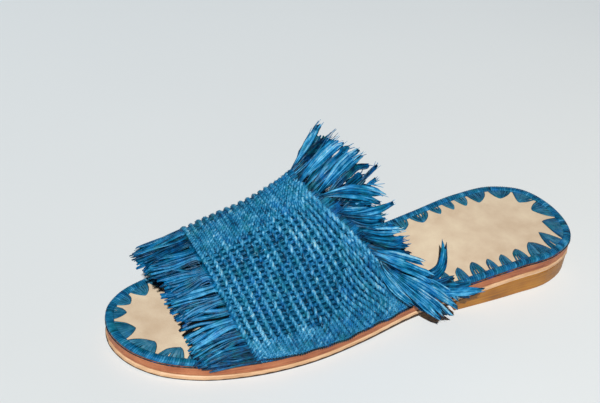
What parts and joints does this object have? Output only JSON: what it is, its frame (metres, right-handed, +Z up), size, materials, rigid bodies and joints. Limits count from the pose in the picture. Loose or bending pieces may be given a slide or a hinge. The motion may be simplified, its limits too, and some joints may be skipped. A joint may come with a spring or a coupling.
{
  "type": "woven raffia slide sandal",
  "caption": "Left slip-on sandal: wide woven raffia band arched over a low stacked leather sole, frayed strands along the band's front and back edges, raffia binding round the footbed.",
  "frame": {"origin": "on the floor, at the middle of the heel's flat underside", "axes": "+Z up, +Y from the heel towards the toe along the sole's length, +X towards the inner (big toe) side of this left shoe"},
  "size_m": [0.0861, 0.255, 0.0969],
  "materials": {
    "stacked_leather": "stacked heel leather, sanded edge with fine grain lines",
    "pale_leather": "undyed vegetable-tanned sole leather, smooth cut edge",
    "rust_leather": "reddish brown leather board, burnished edge",
    "natural_leather": "matt beige lining leather, fine grain",
    "blue_raffia": "blue dyed raffia, woven, knotted and frayed, slight sheen"
  },
  "bodies": {
    "root": {"heel": "stacked_leather", "outsole": "pale_leather", "midsole": "rust_leather", "footbed": "natural_leather", "edge_binding": "blue_raffia", "upper": "blue_raffia", "front_fringe": "blue_raffia", "back_fringe": "blue_raffia"}
  },
  "joints": []
}
